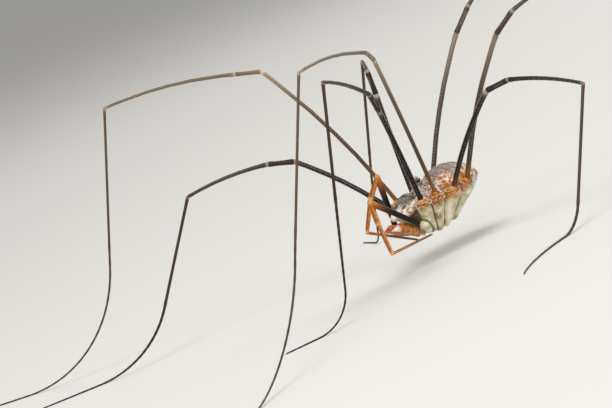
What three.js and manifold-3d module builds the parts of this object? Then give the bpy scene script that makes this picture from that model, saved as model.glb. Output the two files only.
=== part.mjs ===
// A male harvestman, life size, standing still on its eight legs.
// Millimetres. The head looks along -Y, its left side is +X, and the feet rest on the plane z = 0.
import * as THREE from "three";
import { mergeVertices } from "three/addons/utils/BufferGeometryUtils.js";
import Module from "manifold-3d";

const wasm = await Module();
wasm.setup();

// Driving dimensions of the body
const BODY_HEIGHT = 3.4;
const BODY_FRONT = -2.5;
const BODY_REAR = 3.2;
const GAP = 0.2;
const SPLIT_BACK = 0.05;
const SPLIT_SLOPE = 0.55;
const ROUNDNESS = 0.55;

// Outline of the trunk by station along Y: each pair is [y, size], with heights above BODY_HEIGHT
const HALF_WIDTH = [
  [-2.5, 0.75],
  [-2.1, 1.15],
  [-1.2, 1.45],
  [0.6, 1.65],
  [1.9, 1.45],
  [2.7, 1.0],
  [3.2, 0.45],
];
const TOP = [
  [-2.5, 0.8],
  [-2.1, 1.12],
  [-1.2, 1.32],
  [-0.4, 1.36],
  [0.1, 1.6],
  [0.9, 1.7],
  [1.6, 1.62],
  [2.3, 1.36],
  [2.9, 0.85],
  [3.2, 0.4],
];
const BOTTOM = [
  [-2.5, 0.3],
  [-2.1, -0.7],
  [-1.5, -1.45],
  [0.1, -1.45],
  [1.0, -1.15],
  [2.2, -0.65],
  [2.9, -0.25],
  [3.2, 0.05],
];

// Driving dimensions of the limbs
const LEG_LENGTHS = {
  1: { femur: 7.0, patella: 1.65, tibia: 5.3, metatarsus: 6.8, tarsus: 10.5 },
  2: { femur: 11.5, patella: 1.75, tibia: 8.7, metatarsus: 9.0, tarsus: 19.0 },
  3: { femur: 6.8, patella: 1.5, tibia: 5.0, metatarsus: 7.4, tarsus: 10.5 },
  4: { femur: 9.8, patella: 1.85, tibia: 6.6, metatarsus: 9.6, tarsus: 13.5 },
};
const LEG_RADII = { femur: 0.27, patella: 0.28, tibia: 0.26, metatarsus: 0.25, tarsus: 0.22, tip: 0.1 };
const LEG_SIDES = 8;
const FEMUR_BOW = 0.035;
const TIBIA_BOW = 0.04;
const TROCHANTER_RADIUS = 0.36;
const SOLE_HEIGHT = 0.16;
const LEG_ROOTS = {
  1: [1.55, -2.6, 3.7],
  2: [1.9, -1.7, 3.8],
  3: [1.95, -0.4, 3.62],
  4: [1.75, 0.95, 3.65],
};
const COXA_INNER = {
  1: [0.42, -1.75, 1.95],
  2: [0.42, -1.25, 1.85],
  3: [0.42, -0.65, 1.9],
  4: [0.45, 0.0, 2.05],
};
const COXA_RADII = [0.34, 0.46];

// Pose of each leg: heading turns from straight ahead towards the left, pitch rises above the floor
const LEG_POSES = {
  left_1: {
    femur: [46, 64], patella: [46, 45],
    tibia: [27, 22], metatarsus: [-14, -73], toe: -12, flat: 2.2,
  },
  left_2: {
    femur: [49, 54], patella: [45, 21],
    tibia: [27, 6], metatarsus: [5, -60], toe: 52, flat: 6,
  },
  left_3: {
    femur: [111, 47], patella: [119, 7],
    tibia: [107, -18], metatarsus: [10, -54], toe: 42, flat: 7,
  },
  left_4: {
    femur: [106, 53], patella: [109, 32],
    tibia: [135, 10], metatarsus: [130, -55], toe: 128, flat: 4,
  },
  right_1: {
    femur: [-70, 41], patella: [-36, 16],
    tibia: [-43, -1], metatarsus: [-30, -56], toe: -35, flat: 4,
  },
  right_2: {
    femur: [-57, 64], patella: [-60, 13],
    tibia: [-53, 6], metatarsus: [-58, -68], toe: -62, flat: 6.5,
  },
  right_3: {
    femur: [-132, 74], patella: [-131, 80],
    tibia: [-126, 4], metatarsus: [-103, -54], toe: -110, flat: 2.5,
  },
  right_4: {
    femur: [173, 55], patella: [160, 43],
    tibia: [166, 25], metatarsus: [172, -58], toe: 178, flat: 2.5,
  },
};

const PALP_COXA_INNER = [0.45, -2.0, 1.95];
const PALP_COXA_OUTER = [0.87, -2.5, 2.26];
const PALP_ROOT = [1.1, -3.15, 2.68];
const PALP_LENGTHS = { femur: 3.35, patella: 1.5, tibia: 1.9, tarsus: 3.1 };
const PALP_RADII = { femur: 0.25, patella: 0.25, tibia: 0.25, tarsus: 0.24, tip: 0.13 };
const PALP_POSES = {
  left: { femur: [-9, 43], patella: [-125, -74], tibia: [78, -82], tarsus: [175, 0] },
  right: { femur: [64, 81], patella: [-34, -52], tibia: [-23, -62], tarsus: [146, -30] },
};

const CHELICERA_ROOT = [0.53, -1.95, 4.06];
const CHELICERA_KNEE = [0.5, -3.48, 3.3];
const CHELICERA_RADIUS = 0.42;
const KNEE_RADIUS = 0.26;
const HAND_FRONT = [0.43, -3.98, 2.8];
const HAND_REAR = [0.38, -2.8, 2.06];
const HAND_RADIUS = 0.3;
const HORN_TIP = [0.42, -4.62, 2.82];
const FINGER_TIP = [0.3, -2.35, 1.68];

const TUBERCLE = [0, -1.32, 4.78];
const TUBERCLE_RADIUS = 0.33;
const EYE_OFFSET = 0.33;
const EYE_RADIUS = 0.17;

// Spines: height stands out of the surface, and rows run along the femur at even turns round it
const SPINE_SINK = 0.08;
const FEMUR_SPINES = { height: 0.13, base: 0.07, first: 0.9, last: 0.5 };
const SPINE_ROWS = { 1: 4, 2: 2, 3: 4, 4: 2 };
const SPINE_STEPS = { 1: 8, 2: 8, 3: 7, 4: 8 };
const ROOT_SPINES = { height: 0.17, base: 0.08, count: 5 };
const TUBERCLE_SPINES = { height: 0.1, base: 0.06, count: 4 };

const COLOURS = {
  carapace: 0xa89a8c,
  abdomen: 0xb3a18f,
  amber: 0xb8741f,
  black: 0x17110f,
  brown: 0x6b5340,
  tan: 0x9a8369,
  cream: 0xe6dcc8,
};

// Geometry helpers
const UP = new THREE.Vector3(0, 1, 0);

function vector(list) {
  return new THREE.Vector3(...list);
}

function direction(heading, pitch) {
  const turn = THREE.MathUtils.degToRad(heading);
  const rise = THREE.MathUtils.degToRad(pitch);
  return new THREE.Vector3(
    Math.sin(turn) * Math.cos(rise),
    -Math.cos(turn) * Math.cos(rise),
    Math.sin(rise),
  );
}

function mirrored(list, side) {
  return new THREE.Vector3(side * list[0], list[1], list[2]);
}

function smoothSize(pairs, at) {
  let index = 0;
  while (index < pairs.length - 2 && at > pairs[index + 1][0]) {
    index += 1;
  }
  const [start, from] = pairs[index];
  const [end, to] = pairs[index + 1];
  const share = THREE.MathUtils.clamp((at - start) / (end - start), 0, 1);
  return THREE.MathUtils.lerp(from, to, share);
}

function closed(geometry) {
  const bare = geometry.clone();
  bare.deleteAttribute("normal");
  bare.deleteAttribute("uv");
  return mergeVertices(bare, 1e-4);
}

function solid(geometry) {
  const merged = closed(geometry);
  return new wasm.Manifold(
    new wasm.Mesh({
      numProp: 3,
      vertProperties: Float32Array.from(merged.attributes.position.array),
      triVerts: Uint32Array.from(merged.index.array),
    }),
  );
}

function largest(manifold) {
  const bodies = manifold.decompose();
  return bodies.reduce((best, body) => (body.volume() > best.volume() ? body : best));
}

function geometryOf(manifold) {
  const mesh = largest(manifold).getMesh();
  const geometry = new THREE.BufferGeometry();
  geometry.setAttribute("position", new THREE.BufferAttribute(Float32Array.from(mesh.vertProperties), 3));
  geometry.setIndex(new THREE.BufferAttribute(Uint32Array.from(mesh.triVerts), 1));
  geometry.computeVertexNormals();
  return geometry;
}

function turned(profile, sides) {
  const points = profile.map(([radius, along]) => new THREE.Vector2(radius, along));
  return new THREE.LatheGeometry(points, sides);
}

function placed(geometry, start, aim) {
  const turn = new THREE.Quaternion().setFromUnitVectors(UP, aim.clone().normalize());
  return geometry.applyQuaternion(turn).translate(start.x, start.y, start.z);
}

function capsule(start, end, startRadius, endRadius, sides = 8, rings = 2) {
  const aim = end.clone().sub(start);
  const profile = [];
  for (let step = 0; step <= rings; step += 1) {
    const angle = (step / rings) * (Math.PI / 2);
    profile.push([startRadius * Math.sin(angle), -startRadius * Math.cos(angle)]);
  }
  for (let step = 0; step <= rings; step += 1) {
    const angle = (step / rings) * (Math.PI / 2);
    profile.push([endRadius * Math.cos(angle), aim.length() + endRadius * Math.sin(angle)]);
  }
  profile[0][0] = 0;
  profile[profile.length - 1][0] = 0;
  return placed(turned(profile, sides), start, aim);
}

function ball(centre, radius, across = 10, rings = 7) {
  return new THREE.SphereGeometry(radius, across, rings).translate(centre.x, centre.y, centre.z);
}

// One side of a plane: the box keeps what lies behind the plane, GAP / 2 short of it
function behind(point, normal, size = 50) {
  const box = new THREE.BoxGeometry(size, size, size);
  box.translate(0, -(size + GAP) / 2, 0);
  return solid(placed(box, point, normal));
}

// How far an article that bows upwards stands off its straight line at a place along it
function bowOffset(aim, length, bow, along) {
  const share = THREE.MathUtils.clamp(along / length, 0, 1);
  return sideways(aim)[1].multiplyScalar(4 * bow * length * share * (1 - share));
}

function bowed(geometry, start, aim, length, bow) {
  const position = geometry.attributes.position;
  const point = new THREE.Vector3();
  for (let index = 0; index < position.count; index += 1) {
    point.fromBufferAttribute(position, index);
    point.add(bowOffset(aim, length, bow, point.clone().sub(start).dot(aim)));
    position.setXYZ(index, point.x, point.y, point.z);
  }
  return geometry;
}

// An article that swells at its knuckles, parted from its neighbours in the plane that halves each bend
function article(start, end, startRadius, endRadius, before, after, bow = 0) {
  const aim = end.clone().sub(start);
  const length = aim.length();
  aim.normalize();
  const knuckle = Math.min(0.5, length * 0.2);
  const slim = 0.93;
  const profile = [
    [0, -startRadius],
    [startRadius * 0.7, -startRadius * 0.7],
    [startRadius, 0],
    [startRadius * slim, knuckle],
  ];
  const rings = bow ? 4 : 0;
  for (let ring = 1; ring <= rings; ring += 1) {
    profile.push([startRadius * slim, THREE.MathUtils.lerp(knuckle, length - knuckle, ring / (rings + 1))]);
  }
  profile.push(
    [endRadius * slim, length - knuckle],
    [endRadius, length],
    [endRadius * 0.7, length + endRadius * 0.7],
    [0, length + endRadius],
  );
  const geometry = placed(turned(profile, LEG_SIDES), start, aim);
  let shape = solid(bow ? bowed(geometry, start, aim, length, bow) : geometry);
  if (before) {
    shape = shape.intersect(behind(start, before.clone().add(aim).negate()));
  }
  if (after) {
    shape = shape.intersect(behind(end, after.clone().add(aim)));
  }
  return shape;
}

// A small spine that stands on a surface point, its root sunk in
function spine(point, aim, height, base) {
  const cone = new THREE.ConeGeometry(base, height + SPINE_SINK, 5);
  cone.translate(0, (height - SPINE_SINK) / 2, 0);
  return solid(placed(cone, point, aim));
}

function sideways(aim) {
  const across = new THREE.Vector3(-aim.y, aim.x, 0).normalize();
  return [across, aim.clone().cross(across)];
}

// Rows of denticles along a femur, which lean towards its far end
function femurSpines(shape, root, aim, length, number) {
  const [across, above] = sideways(aim);
  const rows = SPINE_ROWS[number];
  const steps = SPINE_STEPS[number];
  const { height, base, first, last } = FEMUR_SPINES;
  let spiny = shape;
  for (let row = 0; row < rows; row += 1) {
    const turn = ((row + 0.5) / rows) * Math.PI * 2;
    const out = across.clone().multiplyScalar(Math.cos(turn)).addScaledVector(above, Math.sin(turn));
    for (let step = 0; step < steps; step += 1) {
      const share = (step + (row % 2) * 0.5) / (steps - 0.5);
      const along = THREE.MathUtils.lerp(first, length - last, share);
      const point = root.clone().addScaledVector(aim, along).addScaledVector(out, LEG_RADII.femur * 0.93);
      point.add(bowOffset(aim, length, FEMUR_BOW, along));
      spiny = spiny.add(spine(point, out.clone().addScaledVector(aim, 0.35), height, base));
    }
  }
  return spiny;
}

// A crown of spines on the outer half of a trochanter
function rootSpines(shape, root, aim, side) {
  const outward = new THREE.Vector3(side, 0, -0.25).addScaledVector(aim, -side * aim.x).normalize();
  const { height, base, count } = ROOT_SPINES;
  let spiny = shape;
  for (let index = 0; index < count; index += 1) {
    const turn = THREE.MathUtils.degToRad(THREE.MathUtils.lerp(-70, 70, index / (count - 1)));
    const out = outward.clone().applyAxisAngle(aim, turn);
    out.addScaledVector(aim, index % 2 ? 0.5 : 0.1).normalize();
    const point = root.clone().addScaledVector(out, TROCHANTER_RADIUS * 0.95);
    spiny = spiny.add(spine(point, out, height, base));
  }
  return spiny;
}

// Trunk
function trunkGeometry() {
  const geometry = new THREE.SphereGeometry(1, 22, 16);
  const position = geometry.attributes.position;
  for (let index = 0; index < position.count; index += 1) {
    const x = position.getX(index);
    const along = position.getY(index);
    const z = position.getZ(index);
    const y = THREE.MathUtils.lerp(BODY_FRONT, BODY_REAR, (along + 1) / 2);
    const ring = Math.hypot(x, z);
    const roundness = Math.pow(ring, ROUNDNESS);
    const top = smoothSize(TOP, y);
    const bottom = smoothSize(BOTTOM, y);
    const middle = (top + bottom) / 2;
    const half = (top - bottom) / 2;
    const cosine = ring > 1e-6 ? x / ring : 0;
    const sine = ring > 1e-6 ? z / ring : 0;
    position.setXYZ(
      index,
      smoothSize(HALF_WIDTH, y) * roundness * cosine,
      y,
      BODY_HEIGHT + middle + half * roundness * sine,
    );
  }
  return geometry;
}

function halfSpace(front) {
  const size = 12;
  const box = new THREE.BoxGeometry(size, size, size);
  const offset = (size + GAP) / 2;
  box.translate(0, front ? -offset : offset, 0);
  box.rotateX(-Math.atan(SPLIT_SLOPE));
  box.translate(0, SPLIT_BACK, BODY_HEIGHT + 0.6);
  return solid(box);
}

const group = new THREE.Group();
const finishes = Object.fromEntries(
  Object.entries(COLOURS).map(([name, color]) => [
    name,
    new THREE.MeshStandardMaterial({ color, roughness: 0.6, metalness: 0 }),
  ]),
);

function add(name, geometry, finish) {
  const mesh = new THREE.Mesh(geometry, finishes[finish]);
  mesh.name = name;
  group.add(mesh);
}

// Legs
function tarsusRoute(start, heading, toe, pitch, length, flat) {
  const fall = THREE.MathUtils.degToRad(-pitch);
  const drop = start.z - SOLE_HEIGHT;
  const curved = (1 - Math.cos(fall)) / fall;
  let bend = ((length - flat) * Math.sin(fall) - drop) / (Math.sin(fall) - curved);
  let straight = length - flat - bend;
  if (straight < 0) {
    straight = 0;
    bend = drop / curved;
  }
  const steps = 40;
  const points = [start.clone()];
  const place = start.clone();
  for (let step = 0; step < steps; step += 1) {
    const s = ((step + 0.5) / steps) * length;
    const share = THREE.MathUtils.clamp((s - straight) / bend, 0, 1);
    const angle = THREE.MathUtils.radToDeg(fall) * (1 - share);
    const turn = THREE.MathUtils.lerp(heading, toe, s / length);
    place.addScaledVector(direction(turn, -angle), length / steps);
    points.push(place.clone());
  }
  const last = points[points.length - 1];
  const lift = (SOLE_HEIGHT - last.z) / length;
  points.forEach((point, index) => {
    point.z += lift * (index / steps) * length;
  });
  return points;
}

// A tube bent along a route, tapered to its tip and flattened where it would pass the floor
function tarsusGeometry(points, length, sides = 8) {
  const rings = Math.round(length * 0.9);
  const profile = [[0, 0]];
  for (let ring = 0; ring <= rings; ring += 1) {
    const share = ring / rings;
    profile.push([THREE.MathUtils.lerp(LEG_RADII.tarsus, LEG_RADII.tip, share * share), share * length]);
  }
  profile.push([0, length]);
  const geometry = turned(profile, sides);
  const route = new THREE.CatmullRomCurve3(points.filter((point, index) => index % 4 === 0));
  const position = geometry.attributes.position;
  for (let index = 0; index < position.count; index += 1) {
    const share = position.getY(index) / length;
    const centre = route.getPoint(share);
    const tangent = route.getTangent(share);
    const across = new THREE.Vector3(-tangent.y, tangent.x, 0).normalize();
    const above = across.clone().cross(tangent).multiplyScalar(-1);
    centre.addScaledVector(across, position.getX(index));
    centre.addScaledVector(above, -position.getZ(index));
    position.setXYZ(index, centre.x, centre.y, Math.max(centre.z, 0));
  }
  return geometry;
}

function buildLeg(side, number) {
  const label = side > 0 ? "left" : "right";
  const pose = LEG_POSES[label + "_" + number];
  const lengths = LEG_LENGTHS[number];
  const name = "leg_" + number + "_" + label + "_";
  const root = mirrored(LEG_ROOTS[number], side);
  const parts = ["femur", "patella", "tibia", "metatarsus"];
  const aims = parts.map((part) => direction(...pose[part]));
  const place = root.clone();
  parts.forEach((part, index) => {
    const end = place.clone().addScaledVector(aims[index], lengths[part]);
    const radius = LEG_RADII[part];
    const after = aims[Math.min(index + 1, aims.length - 1)];
    const bow = { femur: FEMUR_BOW, tibia: TIBIA_BOW }[part] ?? 0;
    let shape = article(place, end, radius, radius, aims[index - 1], after, bow);
    if (part === "femur") {
      shape = shape.add(solid(ball(root, TROCHANTER_RADIUS)));
      shape = femurSpines(shape, root, aims[0], lengths.femur, number);
      shape = rootSpines(shape, root, aims[0], side);
    }
    add(name + part, geometryOf(shape), part === "femur" && number % 2 ? "black" : "brown");
    place.copy(end);
  });
  const [heading, pitch] = pose.metatarsus;
  const start = place.clone().addScaledVector(aims[aims.length - 1], GAP / 2);
  const length = lengths.tarsus - GAP / 2;
  const route = tarsusRoute(start, heading, pose.toe, pitch, length, pose.flat);
  add(name + "tarsus", closed(tarsusGeometry(route, length)), "tan");
}

function legClearance(side, number) {
  const label = side > 0 ? "left" : "right";
  const aim = direction(...LEG_POSES[label + "_" + number].femur);
  const root = mirrored(LEG_ROOTS[number], side);
  const end = root.clone().addScaledVector(aim, 3);
  const wide = solid(ball(root, TROCHANTER_RADIUS + GAP));
  return wide.add(solid(capsule(root, end, LEG_RADII.femur + GAP, LEG_RADII.femur + GAP)));
}

function buildPalp(side) {
  const label = side > 0 ? "left" : "right";
  const pose = PALP_POSES[label];
  const parts = ["femur", "patella", "tibia", "tarsus"];
  const aims = parts.map((part) => direction(...pose[part]));
  const place = mirrored(PALP_ROOT, side);
  parts.forEach((part, index) => {
    const end = place.clone().addScaledVector(aims[index], PALP_LENGTHS[part]);
    const radius = PALP_RADII[part];
    const endRadius = part === "tarsus" ? PALP_RADII.tip : radius;
    const shape = article(place, end, radius, endRadius, aims[index - 1], aims[index + 1]);
    add("palp_" + label + "_" + part, geometryOf(shape), part === "femur" ? "black" : "amber");
    place.copy(end);
  });
}

function palpClearance(side) {
  const label = side > 0 ? "left" : "right";
  const root = mirrored(PALP_ROOT, side);
  const end = root.clone().addScaledVector(direction(...PALP_POSES[label].femur), 2);
  const wide = PALP_RADII.femur + GAP;
  return solid(capsule(root, end, wide, wide));
}

// Chelicerae
function cheliceraBase(side, grow = 0) {
  const wide = CHELICERA_RADIUS + grow;
  const narrow = KNEE_RADIUS + grow;
  return capsule(mirrored(CHELICERA_ROOT, side), mirrored(CHELICERA_KNEE, side), wide, narrow, 10, 3);
}

function buildChelicera(side) {
  const label = side > 0 ? "left" : "right";
  add("chelicera_" + label + "_base", closed(cheliceraBase(side)), "cream");
  const front = mirrored(HAND_FRONT, side);
  const rear = mirrored(HAND_REAR, side);
  const palm = solid(capsule(front, rear, HAND_RADIUS, 0.2, 10, 3));
  const horn = solid(capsule(front, mirrored(HORN_TIP, side), 0.2, 0.06, 8, 2));
  const finger = solid(capsule(rear, mirrored(FINGER_TIP, side), 0.14, 0.06, 8, 2));
  add("chelicera_" + label + "_hand", geometryOf(palm.add(horn).add(finger)), "amber");
}

// Trunk parts
function buildTrunk() {
  const whole = solid(trunkGeometry());
  let prosoma = whole.intersect(halfSpace(true));
  let abdomen = whole.intersect(halfSpace(false));
  for (const side of [1, -1]) {
    for (const number of [1, 2, 3, 4]) {
      const root = mirrored(LEG_ROOTS[number], side);
      const inner = mirrored(COXA_INNER[number], side);
      const aim = root.clone().sub(inner).normalize();
      const outer = root.clone().addScaledVector(aim, -(TROCHANTER_RADIUS * 0.7 + COXA_RADII[1] * 0.8));
      const coxa = solid(capsule(inner, outer, COXA_RADII[0], COXA_RADII[1]));
      abdomen = abdomen.subtract(solid(capsule(inner, outer, COXA_RADII[0] + GAP, COXA_RADII[1] + GAP)));
      prosoma = prosoma.add(coxa);
    }
    const palpInner = mirrored(PALP_COXA_INNER, side);
    const palpOuter = mirrored(PALP_COXA_OUTER, side);
    prosoma = prosoma.add(solid(capsule(palpInner, palpOuter, 0.28, 0.3)));
  }
  for (const side of [1, -1]) {
    prosoma = prosoma.subtract(solid(cheliceraBase(side, GAP)));
    prosoma = prosoma.subtract(palpClearance(side));
    for (const number of [1, 2, 3, 4]) {
      const room = legClearance(side, number);
      prosoma = prosoma.subtract(room);
      abdomen = abdomen.subtract(room);
    }
  }
  const tubercle = solid(ball(vector(TUBERCLE), TUBERCLE_RADIUS + GAP));
  prosoma = prosoma.subtract(tubercle);
  add("cephalothorax", geometryOf(prosoma), "carapace");
  add("abdomen", geometryOf(abdomen), "abdomen");
}

function buildEyes() {
  let tubercle = solid(ball(vector(TUBERCLE), TUBERCLE_RADIUS));
  for (const side of [1, -1]) {
    const centre = vector(TUBERCLE).add(new THREE.Vector3(side * EYE_OFFSET, -0.05, 0.08));
    tubercle = tubercle.subtract(solid(ball(centre, EYE_RADIUS + 0.08, 8, 6)));
    add("eye_" + (side > 0 ? "left" : "right"), closed(ball(centre, EYE_RADIUS, 10, 6)), "black");
  }
  const { height, base, count } = TUBERCLE_SPINES;
  for (const side of [1, -1]) {
    for (let index = 0; index < count; index += 1) {
      const turn = THREE.MathUtils.degToRad(THREE.MathUtils.lerp(-60, 60, index / (count - 1)));
      const out = new THREE.Vector3(side * 0.28, -Math.sin(turn), Math.cos(turn)).normalize();
      const point = vector(TUBERCLE).addScaledVector(out, TUBERCLE_RADIUS * 0.95);
      tubercle = tubercle.add(spine(point, out, height, base));
    }
  }
  add("eye_tubercle", geometryOf(tubercle), "carapace");
}

buildTrunk();
buildEyes();
for (const side of [1, -1]) {
  buildChelicera(side);
  buildPalp(side);
  for (const number of [1, 2, 3, 4]) {
    buildLeg(side, number);
  }
}

// The origin lies on the floor at the middle of the whole animal's outline
const reach = new THREE.Box3().setFromObject(group);
group.children.forEach((mesh) => {
  mesh.position.x -= (reach.min.x + reach.max.x) / 2;
  mesh.position.y -= (reach.min.y + reach.max.y) / 2;
  mesh.position.z -= reach.min.z;
});

export default group;
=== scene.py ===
"""A grown male harvestman, life size, standing still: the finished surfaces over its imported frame.

Every shape is drawn in millimetres in the trunk's own axes, the head along -Y and the left side +X, and is
then carried to the frame's metres in one step.
"""

import logging
import math
import random
from collections.abc import Sequence
from dataclasses import dataclass
from enum import Enum

import bmesh
import bpy
from mathutils import Matrix, Vector, noise


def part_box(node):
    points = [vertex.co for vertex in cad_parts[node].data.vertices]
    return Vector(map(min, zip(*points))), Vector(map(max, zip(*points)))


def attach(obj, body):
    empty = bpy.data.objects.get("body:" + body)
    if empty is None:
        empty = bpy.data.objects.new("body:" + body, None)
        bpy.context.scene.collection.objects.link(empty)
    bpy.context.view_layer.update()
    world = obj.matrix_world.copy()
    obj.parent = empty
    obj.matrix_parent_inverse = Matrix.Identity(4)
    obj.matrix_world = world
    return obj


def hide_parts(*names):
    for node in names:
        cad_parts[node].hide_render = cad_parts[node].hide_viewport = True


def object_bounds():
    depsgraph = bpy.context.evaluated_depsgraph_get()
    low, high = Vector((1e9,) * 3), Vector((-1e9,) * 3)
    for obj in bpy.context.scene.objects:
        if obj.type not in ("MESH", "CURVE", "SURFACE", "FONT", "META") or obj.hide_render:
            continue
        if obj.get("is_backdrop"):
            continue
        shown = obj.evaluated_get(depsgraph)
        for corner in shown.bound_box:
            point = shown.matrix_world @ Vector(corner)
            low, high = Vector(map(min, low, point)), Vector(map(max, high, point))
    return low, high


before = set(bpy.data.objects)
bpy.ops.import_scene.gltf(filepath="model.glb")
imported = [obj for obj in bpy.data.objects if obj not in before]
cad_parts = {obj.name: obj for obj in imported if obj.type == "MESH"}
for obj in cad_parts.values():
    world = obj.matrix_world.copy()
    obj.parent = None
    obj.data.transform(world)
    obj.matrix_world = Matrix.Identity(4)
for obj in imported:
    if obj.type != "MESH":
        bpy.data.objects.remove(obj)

LOG = logging.getLogger("harvestman")
MM = 0.001
BODY = "root"

# The trunk's axes: the frame's eyes lie at this place in them, and the feet at height 0
EYES_AT = Vector((0.0, -1.37, 4.86))
TRUNK_HEIGHT = 3.4

# The camera, as the photograph was taken: a macro view with the floor rising to the right
IMAGE_WIDTH = 612
MM_PER_PIXEL = 0.06
CAMERA_DISTANCE = 200.0
CAMERA_ROLL = 22.0
CAMERA_ELEVATION = 6.0
CAMERA_HEADING = 55.0
TRUNK_OFF_CENTRE = (8.04, 0.54)
SENSOR_WIDTH = 36.0

# How deep the cuticle's grain stands and how far light spreads in it, in millimetres
GRAIN_DEPTH = 0.02
GLOW_REACH = 0.2

Point = tuple[float, float, float]
Profile = tuple[tuple[float, float], ...]
Ramp = tuple[tuple[float, str], ...]
Socket = bpy.types.NodeSocket


class Side(Enum):
    """The animal's own left and right."""

    LEFT = 1
    RIGHT = -1

    @property
    def label(self) -> str:
        """The side's word in the names of nodes and pieces."""
        return self.name.lower()

    def place(self, point: Point) -> Vector:
        """Mirror a left-hand point to this side."""
        return Vector((self.value * point[0], point[1], point[2]))


def heading(turn: float, pitch: float) -> Vector:
    """Turn a heading and a pitch into a direction.

    Args:
        turn: degrees from straight ahead towards the animal's left.
        pitch: degrees above the floor.

    Returns:
        The unit direction.
    """
    turned, raised = math.radians(turn), math.radians(pitch)
    level = math.cos(raised)
    return Vector((math.sin(turned) * level, -math.cos(turned) * level, math.sin(raised)))


def sideways(aim: Vector) -> tuple[Vector, Vector]:
    """The level direction across a rod, and the direction that is square to both."""
    across = Vector((-aim.y, aim.x, 0.0)).normalized()
    return across, aim.cross(across)


def blend(low: float, high: float, share: float) -> float:
    """Mix two numbers, holding the share between 0 and 1."""
    held = min(max(share, 0.0), 1.0)
    return low + (high - low) * held


def ease(low: float, high: float, value: float) -> float:
    """Rise smoothly from 0 at low to 1 at high."""
    held = min(max((value - low) / (high - low), 0.0), 1.0)
    return held * held * (3.0 - 2.0 * held)


def curve_at(pairs: Profile, at: float) -> float:
    """Read the size at a place, on straight lines between a few pairs.

    Args:
        pairs: places in rising order, each with its size.
        at: the place.

    Returns:
        The size.
    """
    for (start, low), (end, high) in zip(pairs, pairs[1:]):
        if at <= end:
            return blend(low, high, (at - start) / (end - start))
    return pairs[-1][1]


def linear(code: str) -> tuple[float, float, float, float]:
    """Turn a colour code into the shader's linear colour.

    Args:
        code: two digits each for red, green and blue.

    Returns:
        The colour, with full alpha.
    """
    channels = [int(code[index : index + 2], 16) / 255.0 for index in (0, 2, 4)]
    lit = [c / 12.92 if c <= 0.04045 else ((c + 0.055) / 1.055) ** 2.4 for c in channels]
    return (lit[0], lit[1], lit[2], 1.0)


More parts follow.
